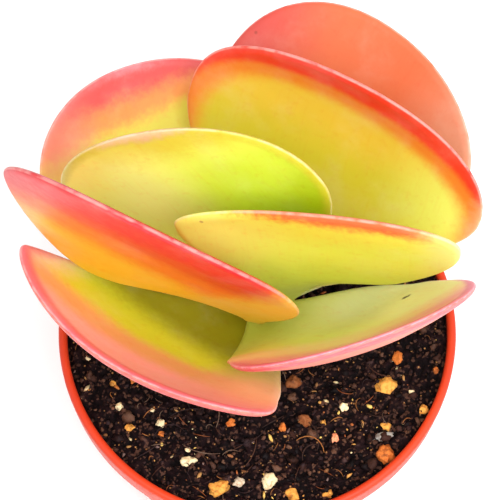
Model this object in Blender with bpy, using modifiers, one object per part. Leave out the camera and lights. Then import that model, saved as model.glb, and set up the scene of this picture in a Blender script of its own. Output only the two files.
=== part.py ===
"""Potted paddle plant.

A flapjack kalanchoe with eight thick paddle leaves in crossed pairs on one
short stem, standing in gritty potting soil in a plastic nursery pot.
Blender 4.5, metres, +Z up. The origin is the centre of the pot's underside.
"""
import math
import random
from dataclasses import dataclass

import bmesh
import bpy
from mathutils import Vector, noise

MM = 0.001
CLEARANCE = 0.3 * MM        # air between pieces that touch

# Pot: a 10.5 cm nursery pot with a collar, a beaded lip and a channelled floor
POT_HEIGHT = 92 * MM
RIM_RADIUS = 52.5 * MM
LIP_WIDTH = 2.3 * MM
LIP_DEPTH = 2.4 * MM
COLLAR_HEIGHT = 10.0 * MM
COLLAR_WALL = 1.6 * MM
BODY_TOP_RADIUS = 50.6 * MM
BODY_FOOT_RADIUS = 37.0 * MM
WALL = 1.4 * MM
FLOOR = 1.6 * MM
FOOT_WIDTH = 3.2 * MM
PAD_RADIUS = 18.5 * MM
CHANNEL_DEPTH = 1.5 * MM
DRAIN_COUNT = 8
DRAIN_RADIUS = 3.2 * MM
DRAIN_SIDES = 10
POT_STEPS = 48

# Soil: the top rises from the left to the right and is crumbly all over
SOIL_LEVEL = 85.9 * MM
SOIL_SLOPE = 0.034          # rise per metre towards +X
SOIL_RIPPLE = 0.8 * MM
RIPPLE_SIZE = 9.0 * MM
SOIL_RINGS = 10
CRUMB_COUNT = 24
CRUMB_RADIUS = (0.9 * MM, 1.9 * MM)
CRUMB_SEED = 7

# Stem: stands a little off the pot's axis in a plain hole in the soil
STEM_PLACE = (3.5 * MM, 3.5 * MM)
STEM_FOOT = 62 * MM
STEM_TOP = 111 * MM
STEM_FOOT_RADIUS = 6.2 * MM
STEM_TOP_RADIUS = 4.2 * MM
NODE_SWELL = 0.35 * MM
NODE_HEIGHTS = (92 * MM, 98 * MM, 103 * MM)
STEM_STEPS = 16

# Leaf blade: shares of the blade's length, and thicknesses
STALK_SHARE = 0.4           # share over which the blade turns and leans
EDGE_SHARE = 0.3            # share over which a lopsided blade widens
BULGE_POWER = 1.15          # how late the outline swells below the widest point
ROUND_POWER = 2.15          # how blunt the outline is above the widest point
STALK_THICK = 3.8 * MM
BASE_THICK = 3.6 * MM
TIP_THICK = 2.6 * MM
EDGE_THICK = 1.7 * MM
EDGE_ROUND = 0.5 * MM
STALK_INSET = 2.0 * MM      # how near the stem's axis a leaf's foot starts
STALK_HALF = 3.6 * MM       # half width of the foot, at most the blade's base
STALK_ROWS = 3
BLADE_ROWS = 12
BLADE_COLUMNS = 12
STRAIGHT_PART = 0.5         # share of the blade's rows below the widest point
MIDRIB_STEPS = 40


@dataclass
class Leaf:
    """One leaf, in millimetres and degrees."""

    name: str
    azimuth: float          # compass direction of the midrib, from +X towards +Y
    height: float           # height of the blade's base above the pot's underside
    reach: float            # distance of the blade's base from the stem's axis
    offset: float           # direction of that base round the stem, from the azimuth
    stalk: float            # length of the turn between the stem and the base
    rise: tuple             # slope of the midrib above the horizontal, at base and tip
    roll: float             # turn about the midrib near the stem
    twist: float            # further turn about the midrib, spread over the length
    lean: float             # sideways lean in the blade's plane near the stem
    curve: float            # further sideways bend, spread over the length
    length: float
    width: float
    base: float             # half width where the blade leaves the stalk
    widest: tuple           # widest point of each half, as a share of the length
    lopsided: float         # share by which one half is wider than the other
    cup: float              # curvature across the blade, per metre


LEAVES = (
    Leaf("leaf_front_left", azimuth=222, height=90.5, reach=2.5, offset=7, stalk=4,
         rise=(30, 69), roll=16, twist=-8, lean=-13, curve=2, length=76.5, width=76.0,
         base=7.5, widest=(0.72, 0.84), lopsided=0.08, cup=6.0),
    Leaf("leaf_far_back", azimuth=67, height=92.0, reach=6.0, offset=-1, stalk=4,
         rise=(6, 38), roll=-8, twist=-7, lean=9, curve=-22, length=77.5, width=76.5,
         base=3.5, widest=(0.64, 0.60), lopsided=0.02, cup=3.5),
    Leaf("leaf_front_right", azimuth=301, height=98.5, reach=2.5, offset=-42, stalk=4,
         rise=(40, 79), roll=-23, twist=22, lean=16, curve=10, length=73.5, width=69.5,
         base=7.0, widest=(0.46, 0.62), lopsided=-0.02, cup=4.5),
    Leaf("leaf_back_left", azimuth=131, height=98.0, reach=5.5, offset=1, stalk=4,
         rise=(-6, 46), roll=-7, twist=1, lean=2, curve=-22, length=71.0, width=70.0,
         base=4.0, widest=(0.62, 0.54), lopsided=-0.02, cup=4.5),
    Leaf("leaf_mid_front", azimuth=257, height=114.5, reach=9.5, offset=-16, stalk=9,
         rise=(78, 85), roll=5, twist=-24, lean=-23, curve=-68, length=87.0, width=72.0,
         base=3.5, widest=(0.58, 0.56), lopsided=-0.08, cup=-1.0),
    Leaf("leaf_mid_back", azimuth=58, height=103.0, reach=5.5, offset=2, stalk=4,
         rise=(15, 92), roll=0, twist=5, lean=16, curve=-22, length=68.5, width=83.0,
         base=4.5, widest=(0.58, 0.58), lopsided=0.0, cup=1.5),
    Leaf("leaf_inner_front", azimuth=297, height=113.5, reach=5.0, offset=16, stalk=4,
         rise=(87, 90), roll=-26, twist=-12, lean=20, curve=-36, length=59.0, width=68.5,
         base=2.5, widest=(0.80, 0.80), lopsided=0.16, cup=-0.5),
    Leaf("leaf_inner_back", azimuth=136, height=112.0, reach=2.5, offset=-3, stalk=4,
         rise=(68, 80), roll=-66, twist=12, lean=16, curve=9, length=67.5, width=72.5,
         base=3.5, widest=(0.58, 0.58), lopsided=-0.02, cup=0.5),
)

# The largest chips in the soil, in millimetres: place, long half, short half, turn
CHIPS = (
    (-18.0, -34.8, 1.9, 1.2, 10), (-10.0, -41.5, 2.6, 1.8, 35), (33.8, -14.6, 2.4, 2.1, 20),
    (33.0, -33.2, 2.4, 2.0, 60), (33.3, -28.4, 2.5, 1.2, 12), (3.0, -40.5, 1.9, 1.6, 80),
    (9.1, -44.0, 1.8, 1.4, 0), (-25.4, -24.2, 1.1, 0.9, 50), (22.6, -20.4, 1.2, 1.0, 0),
    (9.5, -13.5, 1.8, 1.6, 30), (12.3, -24.2, 1.6, 1.3, 70), (-6.8, -24.5, 1.1, 1.0, 0),
)

# Materials: colour, roughness, light that enters the flesh
MATERIALS = {
    "pot_plastic": ((0.78, 0.11, 0.045), 0.38, 0.0),
    "soil": ((0.028, 0.018, 0.016), 0.95, 0.0),
    "stem_flesh": ((0.42, 0.45, 0.12), 0.5, 0.1),
    "leaf_front_left": ((0.86, 0.47, 0.20), 0.45, 0.15),
    "leaf_far_back": ((0.88, 0.22, 0.15), 0.45, 0.15),
    "leaf_front_right": ((0.62, 0.66, 0.22), 0.45, 0.15),
    "leaf_back_left": ((0.90, 0.34, 0.24), 0.45, 0.15),
    "leaf_mid_front": ((0.90, 0.36, 0.09), 0.45, 0.15),
    "leaf_mid_back": ((0.90, 0.58, 0.08), 0.45, 0.15),
    "leaf_inner_front": ((0.70, 0.68, 0.10), 0.45, 0.15),
    "leaf_inner_back": ((0.62, 0.66, 0.12), 0.45, 0.15),
}


def mix(low, high, share):
    """Blend two numbers."""
    return low + (high - low) * share


def ease(share):
    """Smooth step from 0 to 1, held at both ends."""
    share = min(max(share, 0.0), 1.0)
    return share * share * (3 - 2 * share)


def clear_scene():
    """Remove whatever the file holds."""
    for obj in list(bpy.data.objects):
        bpy.data.objects.remove(obj, do_unlink=True)


def new_collection(name):
    """Add a collection to the scene."""
    collection = bpy.data.collections.new(name)
    bpy.context.scene.collection.children.link(collection)
    return collection


def make_material(name):
    """Principled material from the table above."""
    colour, roughness, flesh = MATERIALS[name]
    material = bpy.data.materials.new(name)
    material.use_nodes = True
    shader = material.node_tree.nodes["Principled BSDF"]
    shader.inputs["Base Color"].default_value = (*colour, 1.0)
    shader.inputs["Roughness"].default_value = roughness
    shader.inputs["Subsurface Weight"].default_value = flesh
    material.diffuse_color = (*colour, 1.0)
    return material


def add_object(name, mesh, collection, material=None):
    """Put a mesh in a collection as an object."""
    obj = bpy.data.objects.new(name, mesh)
    collection.objects.link(obj)
    if material:
        mesh.materials.append(material)
    return obj


def make_cutter(obj):
    """Mark an object as a tool that isn't part of the model."""
    obj.hide_render = True
    obj.display_type = "WIRE"
    return obj


def shade(obj, angle=35):
    """Smooth shading with sharp edges past an angle."""
    obj.data.shade_smooth()
    obj.data.set_sharp_from_angle(angle=math.radians(angle))


def freeze(obj):
    """Replace an object's mesh with its evaluated one and drop its modifiers."""
    graph = bpy.context.evaluated_depsgraph_get()
    mesh = bpy.data.meshes.new_from_object(obj.evaluated_get(graph))
    obj.modifiers.clear()
    obj.data = mesh


def turn_profile(name, profile, steps, collection, material=None):
    """Solid turned round +Z from (radius, height) points, outer side top to bottom."""
    mesh = bpy.data.meshes.new(name)
    build = bmesh.new()
    points = [build.verts.new((radius, 0, height)) for radius, height in profile]
    for start, end in zip(points, points[1:]):
        build.edges.new((start, end))
    build.to_mesh(mesh)
    build.free()
    obj = add_object(name, mesh, collection, material)
    screw = obj.modifiers.new("turn", "SCREW")
    screw.steps = steps
    screw.render_steps = steps
    screw.use_merge_vertices = True
    screw.merge_threshold = 0.00001
    freeze(obj)
    return obj


def subtract(obj, cutter):
    """Cut one object out of another and keep the result as its mesh."""
    cut = obj.modifiers.new("cut", "BOOLEAN")
    cut.operation = "DIFFERENCE"
    cut.solver = "EXACT"
    cut.object = cutter
    freeze(obj)


# Pot

def body_radius(height):
    """Outer radius of the tapered body at a height."""
    share = height / (POT_HEIGHT - COLLAR_HEIGHT)
    return mix(BODY_FOOT_RADIUS, BODY_TOP_RADIUS, share)


def lip_points(inner, outer, top, count=6):
    """Rounded top of the lip, from its inner to its outer side."""
    middle = (inner + outer) / 2
    half = (outer - inner) / 2
    angles = [math.pi * step / (count - 1) for step in range(count)]
    return [(middle - half * math.cos(a), top - half + half * math.sin(a)) for a in angles]


def inner_profile(air=0.0):
    """Inside of the pot below the lip, floor to collar, moved inwards by some air."""
    shelf = POT_HEIGHT - COLLAR_HEIGHT - WALL
    collar = RIM_RADIUS - COLLAR_WALL - air
    floor = FLOOR + CHANNEL_DEPTH + air
    corner = 4 * MM
    return [
        (body_radius(floor) - WALL - corner - air, floor),
        (body_radius(floor) - WALL - 0.3 * corner - air, floor + 0.3 * corner),
        (body_radius(floor + corner) - WALL - air, floor + corner),
        (body_radius(shelf) - WALL - air, shelf + air),
        (collar, shelf + 1.2 * MM + air),
        (collar, POT_HEIGHT - LIP_DEPTH - 0.4 * MM),
    ]


def pot_profile():
    """Section of the pot, from the middle of its floor over the lip to the underside."""
    lip_inner = RIM_RADIUS - LIP_WIDTH
    foot_inner = BODY_FOOT_RADIUS - FOOT_WIDTH
    floor = [(0, FLOOR), (PAD_RADIUS - FLOOR / 2, FLOOR), (PAD_RADIUS + 0.8 * MM, FLOOR + CHANNEL_DEPTH)]
    collar_foot = POT_HEIGHT - COLLAR_HEIGHT
    outside = [
        (RIM_RADIUS, POT_HEIGHT - LIP_DEPTH),
        (RIM_RADIUS - 0.5 * MM, collar_foot + 0.6 * MM),
        (RIM_RADIUS - 1.1 * MM, collar_foot),
        (body_radius(collar_foot), collar_foot - 0.6 * MM),
        (body_radius(2.0 * MM), 2.0 * MM),
        (BODY_FOOT_RADIUS - 0.5 * MM, 0.5 * MM),
        (BODY_FOOT_RADIUS - 1.2 * MM, 0),
    ]
    underside = [
        (foot_inner, 0),
        (foot_inner - 0.6 * MM, CHANNEL_DEPTH),
        (PAD_RADIUS + 0.6 * MM, CHANNEL_DEPTH),
        (PAD_RADIUS, 0),
        (0, 0),
    ]
    lip_under = [(lip_inner, POT_HEIGHT - LIP_DEPTH)]
    lip = lip_points(lip_inner, RIM_RADIUS, POT_HEIGHT)
    return floor + inner_profile() + lip_under + lip + outside + underside


def make_drains(collection):
    """Cutters for the ring of drainage holes in the floor's channel."""
    ring = (PAD_RADIUS + BODY_FOOT_RADIUS - FOOT_WIDTH) / 2
    build = bmesh.new()
    for index in range(DRAIN_COUNT):
        angle = math.tau * (index + 0.5) / DRAIN_COUNT
        drain = bmesh.ops.create_cone(
            build, cap_ends=True, segments=DRAIN_SIDES, radius1=DRAIN_RADIUS,
            radius2=DRAIN_RADIUS, depth=8 * MM)
        place = Vector((ring * math.cos(angle), ring * math.sin(angle), FLOOR))
        bmesh.ops.translate(build, verts=drain["verts"], vec=place)
    mesh = bpy.data.meshes.new("drains")
    build.to_mesh(mesh)
    build.free()
    return make_cutter(add_object("drains", mesh, collection))


def make_pot(collection, cutters):
    """Turned pot with drainage holes."""
    pot = turn_profile("pot", pot_profile(), POT_STEPS, collection, make_material("pot_plastic"))
    subtract(pot, make_drains(cutters))
    shade(pot)
    return pot


# Stem

def stem_radius(height):
    """Radius of the stem: a gentle taper with a swelling at each pair of leaves."""
    share = (height - STEM_FOOT) / (STEM_TOP - STEM_FOOT)
    swelling = sum(math.exp(-((height - node) / (2 * MM)) ** 2) for node in NODE_HEIGHTS)
    return mix(STEM_FOOT_RADIUS, STEM_TOP_RADIUS, share) + NODE_SWELL * swelling


def stem_profile(air=0.0):
    """Section of the stem from its domed tip to its cut foot, grown by some air."""
    dome = 3.2 * MM
    profile = [(0, STEM_TOP + air)]
    for angle in (30, 58, 80):
        radius = (stem_radius(STEM_TOP - dome) + air) * math.sin(math.radians(angle))
        profile.append((radius, STEM_TOP - dome + (dome + air) * math.cos(math.radians(angle))))
    rows = 9
    for row in range(rows + 1):
        height = mix(STEM_TOP - dome, STEM_FOOT + 1 * MM, row / rows)
        profile.append((stem_radius(height) + air, height))
    profile.append((stem_radius(STEM_FOOT) - 1 * MM + air, STEM_FOOT - air))
    profile.append((0, STEM_FOOT - air))
    return profile


def make_stem(collection, cutters):
    """Stem, and the slightly larger cutter that seats the leaves and the soil on it."""
    stem = turn_profile("stem", stem_profile(), STEM_STEPS, collection, make_material("stem_flesh"))
    seat = turn_profile("stem_seat", stem_profile(CLEARANCE), STEM_STEPS, cutters)
    for obj in (stem, make_cutter(seat)):
        obj.data.transform(obj.matrix_world.Translation((*STEM_PLACE, 0)))
    shade(stem)
    return seat


# Soil

def soil_height(x, y):
    """Height of the crumbly soil at a place."""
    coarse = noise.noise(Vector((x, y, 0)) / RIPPLE_SIZE)
    fine = noise.noise(Vector((x, y, 0.1)) / (RIPPLE_SIZE * 0.45))
    return SOIL_LEVEL + SOIL_SLOPE * x + SOIL_RIPPLE * (coarse + 0.6 * fine)


def soil_profile():
    """Section of the soil plug from the middle of its top to the middle of its bottom."""
    side = inner_profile(CLEARANCE)
    edge = side[-1][0]
    top = [(edge * ring / SOIL_RINGS, SOIL_LEVEL) for ring in range(SOIL_RINGS)]
    return top + [(edge, SOIL_LEVEL)] + side[-2::-1] + [
        (PAD_RADIUS + 0.5 * MM, FLOOR + CHANNEL_DEPTH + CLEARANCE),
        (PAD_RADIUS - 1.5 * MM, FLOOR + CLEARANCE),
        (0, FLOOR + CLEARANCE),
    ]


def add_lump(collection, place, radii, turn, dice):
    """One crumb or chip: a rough faceted lump sunk to its middle in the soil."""
    build = bmesh.new()
    bmesh.ops.create_icosphere(build, subdivisions=1, radius=1)
    cosine, sine = math.cos(turn), math.sin(turn)
    for vert in build.verts:
        rough = dice.uniform(0.82, 1.15)
        long, short, tall = (vert.co[axis] * radii[axis] * rough for axis in range(3))
        vert.co = (place[0] + long * cosine - short * sine, place[1] + long * sine + short * cosine, place[2] + tall)
    mesh = bpy.data.meshes.new("lump")
    build.to_mesh(mesh)
    build.free()
    add_object("lump", mesh, collection)


def clear_of_stem(x, y, radius):
    """Whether a lump of this radius stays off the stem's hole."""
    return math.hypot(x - STEM_PLACE[0], y - STEM_PLACE[1]) > STEM_FOOT_RADIUS + radius + 1.5 * MM


def add_lumps(collection, edge):
    """The large chips at their places, then crumbs at seeded random places between them."""
    dice = random.Random(CRUMB_SEED)
    for x, y, long, short, turn in CHIPS:
        place = (x * MM, y * MM, soil_height(x * MM, y * MM) + 0.2 * MM)
        add_lump(collection, place, (long * MM, short * MM, short * 0.8 * MM), math.radians(turn), dice)
    placed = 0
    while placed < CRUMB_COUNT:
        radius = dice.uniform(*CRUMB_RADIUS)
        distance = (edge - radius - 1 * MM) * math.sqrt(dice.random())
        angle = dice.uniform(0, math.tau)
        x, y = distance * math.cos(angle), distance * math.sin(angle)
        apart = all(math.hypot(x - chip[0] * MM, y - chip[1] * MM) > 5 * MM for chip in CHIPS)
        if not (clear_of_stem(x, y, radius) and apart):
            continue
        place = (x, y, soil_height(x, y) + 0.1 * MM)
        radii = (radius, radius * dice.uniform(0.6, 1), radius * 0.7)
        add_lump(collection, place, radii, dice.uniform(0, math.tau), dice)
        placed += 1


def make_soil(collection, seat):
    """Soil plug with its rippled top, its chips and crumbs, and the stem's hole."""
    soil = turn_profile("soil", soil_profile(), POT_STEPS, collection, make_material("soil"))
    edge = inner_profile(CLEARANCE)[-1][0]
    for vert in soil.data.vertices:
        if abs(vert.co.z - SOIL_LEVEL) < 0.01 * MM:
            vert.co.z = soil_height(vert.co.x, vert.co.y)
    lumps = new_collection("lumps")
    add_lumps(lumps, edge)
    join = soil.modifiers.new("join", "BOOLEAN")
    join.operation = "UNION"
    join.solver = "EXACT"
    join.operand_type = "COLLECTION"
    join.collection = lumps
    freeze(soil)
    for lump in list(lumps.objects):
        bpy.data.objects.remove(lump, do_unlink=True)
    bpy.data.collections.remove(lumps)
    subtract(soil, seat)
    shade(soil, 50)


# Leaves

def blade_axes(leaf, share):
    """Directions along, across and out of the blade at a share of its length."""
    slope = math.radians(mix(*leaf.rise, share))
    compass = math.radians(leaf.azimuth)
    roll = math.radians(leaf.roll * ease(share / STALK_SHARE) + leaf.twist * share)
    swing = math.radians(leaf.lean * ease(share / STALK_SHARE) + leaf.curve * share)
    along = Vector((math.cos(slope) * math.cos(compass), math.cos(slope) * math.sin(compass), math.sin(slope)))
    level = Vector((-math.sin(compass), math.cos(compass), 0))
    upright = along.cross(level)
    across = level * math.cos(roll) + upright * math.sin(roll)
    out = upright * math.cos(roll) - level * math.sin(roll)
    forward = along * math.cos(swing) + across * math.sin(swing)
    sideways = across * math.cos(swing) - along * math.sin(swing)
    return forward, sideways, out


def midrib(leaf):
    """Points of the midrib at even shares of the length, in metres."""
    seat = math.radians(leaf.azimuth + leaf.offset)
    point = Vector((*STEM_PLACE, leaf.height * MM))
    point += Vector((math.cos(seat), math.sin(seat), 0)) * leaf.reach * MM
    points = [point]
    for step in range(MIDRIB_STEPS):
        middle = (step + 0.5) / MIDRIB_STEPS
        point = point + blade_axes(leaf, middle)[0] * leaf.length * MM / MIDRIB_STEPS
        points.append(point)
    return points


def point_at(points, share):
    """Point on a line of evenly spaced points."""
    place = share * (len(points) - 1)
    index = min(int(place), len(points) - 2)
    return points[index].lerp(points[index + 1], place - index)


def half_width(leaf, side, share):
    """Half width of the blade on one side at a share of its length."""
    widest = leaf.widest[0] if side > 0 else leaf.widest[1]
    full = leaf.width / 2
    if share < widest:
        width = mix(leaf.base, full, math.sin(math.pi / 2 * share / widest) ** BULGE_POWER)
    else:
        beyond = (share - widest) / (1 - widest)
        width = full * max(1 - beyond ** ROUND_POWER, 0) ** (1 / ROUND_POWER)
    return width * (1 + math.copysign(leaf.lopsided, side * leaf.lopsided) * ease(share / EDGE_SHARE)) * MM


def blade_place(leaf, across, up):
    """Turn a place on the square grid into shares of the blade's length and half width.

    The rows are straight below the widest point. Above it the square is rounded
    to a half disc, so that the outline runs round the tip without a pinch.
    """
    middle = sum(leaf.widest) / 2
    if up < STRAIGHT_PART:
        return middle * up / STRAIGHT_PART, across
    lift = (up - STRAIGHT_PART) / (1 - STRAIGHT_PART)
    side = across * math.sqrt(1 - lift * lift / 2)
    height = lift * math.sqrt(1 - across * across / 2)
    chord = math.sqrt(max(1 - height * height, 1e-9))
    return middle + (1 - middle) * height, max(-1.0, min(1.0, side / chord))


def blade_thickness(across, up, share):
    """Thickness of the flesh: full near the stem, thinner at the tip and the margin."""
    core = mix(BASE_THICK, TIP_THICK, share)
    inside = (1 - abs(across) ** 5) * (1 - up ** 8)
    return mix(EDGE_THICK, core, inside)


def stalk_point(leaf, base, along, share):
    """Centre of the stalk, which leaves the stem level and turns up into the blade."""
    seat = math.radians(leaf.azimuth + leaf.offset)
    bend = base - along * leaf.stalk * MM
    outwards = Vector((math.cos(seat), math.sin(seat), 0))
    axis = Vector((*STEM_PLACE, bend.z))
    inset = min(STALK_INSET, (bend - axis).dot(outwards))
    foot = axis + outwards * inset
    return foot.lerp(bend, share).lerp(bend.lerp(base, share), share)


def place_leaf_vertex(leaf, points, across, row):
    """Position and thickness of one grid vertex of a leaf."""
    if row < STALK_ROWS:
        share = row / STALK_ROWS
        along, sideways, out = blade_axes(leaf, 0)
        centre = stalk_point(leaf, points[0], along, share)
        foot = min(STALK_HALF, leaf.base * MM)
        offset = across * mix(foot, leaf.base * MM, share)
        edge = mix(EDGE_THICK, BASE_THICK, 1 - abs(across) ** 5)
        return centre + sideways * offset, mix(STALK_THICK, edge, ease(share))
    up = (row - STALK_ROWS) / BLADE_ROWS
    share, side = blade_place(leaf, across, up)
    along, sideways, out = blade_axes(leaf, share)
    offset = side * half_width(leaf, side, share)
    centre = point_at(points, share)
    place = centre + sideways * offset + out * leaf.cup * offset * offset
    return place, blade_thickness(across, up, share)


def make_leaf(leaf, collection, seat):
    """One fleshy leaf: a curved open sheet, thickened, rounded and seated on the stem."""
    rows = STALK_ROWS + BLADE_ROWS
    build = bmesh.new()
    bmesh.ops.create_grid(build, x_segments=BLADE_COLUMNS, y_segments=rows, size=1)
    points = midrib(leaf)
    shares = {}
    for vert in build.verts:
        across = math.sin(vert.co.x * 1.25) / math.sin(1.25)
        row = round((vert.co.y + 1) / 2 * rows)
        vert.co, thickness = place_leaf_vertex(leaf, points, across, row)
        shares[vert.index] = thickness / STALK_THICK
    mesh = bpy.data.meshes.new(leaf.name)
    build.to_mesh(mesh)
    build.free()
    obj = add_object(leaf.name, mesh, collection, make_material(leaf.name))
    group = obj.vertex_groups.new(name="thickness")
    for index, share in shares.items():
        group.add([index], share, "REPLACE")
    flesh = obj.modifiers.new("flesh", "SOLIDIFY")
    flesh.thickness = STALK_THICK
    flesh.offset = 0
    flesh.vertex_group = group.name
    margin = obj.modifiers.new("margin", "BEVEL")
    margin.width = EDGE_ROUND
    margin.segments = 1
    margin.limit_method = "ANGLE"
    margin.angle_limit = math.radians(60)
    freeze(obj)
    subtract(obj, seat)
    shade(obj)


def main():
    """Build the pot, the stem, the soil and the leaves."""
    clear_scene()
    plant = new_collection("potted_paddle_plant")
    cutters = new_collection("cutters")
    make_pot(plant, cutters)
    seat = make_stem(plant, cutters)
    make_soil(plant, seat)
    for leaf in LEAVES:
        make_leaf(leaf, plant, seat)


main()
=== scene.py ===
"""Potted paddle plant: looks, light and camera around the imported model. Blender 4.5, metres."""
import math
import random

import bmesh
import bpy
import numpy as np
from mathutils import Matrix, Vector, noise


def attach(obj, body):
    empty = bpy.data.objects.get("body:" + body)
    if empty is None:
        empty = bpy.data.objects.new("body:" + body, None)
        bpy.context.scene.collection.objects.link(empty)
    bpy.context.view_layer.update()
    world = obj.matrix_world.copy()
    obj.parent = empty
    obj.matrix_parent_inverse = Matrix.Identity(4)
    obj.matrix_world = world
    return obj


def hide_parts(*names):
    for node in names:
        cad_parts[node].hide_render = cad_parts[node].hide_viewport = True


MM = 0.001
SEED = 11

# Pot and soil, as in the model
POT_HEIGHT = 92 * MM
RIM_RADIUS = 52.5 * MM
LIP_WIDTH = 2.3 * MM
LIP_DEPTH = 2.4 * MM
COLLAR_HEIGHT = 10 * MM
COLLAR_WALL = 1.6 * MM
BODY_TOP_RADIUS = 50.6 * MM
BODY_FOOT_RADIUS = 37 * MM
WALL = 1.4 * MM
FLOOR = 1.6 * MM
FOOT_WIDTH = 3.2 * MM
PAD_RADIUS = 18.5 * MM
CHANNEL_DEPTH = 1.5 * MM
DRAIN_COUNT = 8
DRAIN_RADIUS = 3.2 * MM
SOIL_LEVEL = 85.9 * MM
SOIL_SLOPE = 0.034
SOIL_RIPPLE = 0.8 * MM
RIPPLE_SIZE = 9 * MM
SOIL_EDGE = 50.6 * MM
STEM_PLACE = (3.5 * MM, 3.5 * MM)
STEM_FOOT = 62 * MM
STEM_TOP = 111 * MM

# Leaves, in millimetres and degrees, as in the model:
# azimuth, height, reach, offset, stalk, rise, roll, twist, lean, curve, length, width, base,
# widest, lopsided, cup
LEAVES = {
    "leaf_front_left": (222, 90.5, 2.5, 7, 4, (30, 69), 16, -8, -13, 2, 76.5, 76.0, 7.5,
                        (0.72, 0.84), 0.08, 6.0),
    "leaf_far_back": (67, 92.0, 6.0, -1, 4, (6, 38), -8, -7, 9, -22, 77.5, 76.5, 3.5,
                      (0.64, 0.60), 0.02, 3.5),
    "leaf_front_right": (301, 98.5, 2.5, -42, 4, (40, 79), -23, 22, 16, 10, 73.5, 69.5, 7.0,
                         (0.46, 0.62), -0.02, 4.5),
    "leaf_back_left": (131, 98.0, 5.5, 1, 4, (-6, 46), -7, 1, 2, -22, 71.0, 70.0, 4.0,
                       (0.62, 0.54), -0.02, 4.5),
    "leaf_mid_front": (257, 114.5, 9.5, -16, 9, (78, 85), 5, -24, -23, -68, 87.0, 72.0, 3.5,
                       (0.58, 0.56), -0.08, -1.0),
    "leaf_mid_back": (58, 103.0, 5.5, 2, 4, (15, 92), 0, 5, 16, -22, 68.5, 83.0, 4.5,
                      (0.58, 0.58), 0.0, 1.5),
    "leaf_inner_front": (297, 113.5, 5.0, 16, 4, (87, 90), -26, -12, 20, -36, 59.0, 68.5, 2.5,
                         (0.80, 0.80), 0.16, -0.5),
    "leaf_inner_back": (136, 112.0, 2.5, -3, 4, (68, 80), -66, 12, 16, 9, 67.5, 72.5, 3.5,
                        (0.58, 0.58), -0.02, 0.5),
}
STALK_THICK = 3.8
BASE_THICK = 3.6
TIP_THICK = 2.6
EDGE_THICK = 1.7
MARGIN_ROUND = 2.2
STALK_ROWS = 8
BLADE_ROWS = 84
COLUMNS = 72

# Pale line in broken patches along a leaf's margin
WHITE_PINK = (250, 222, 214)
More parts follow.
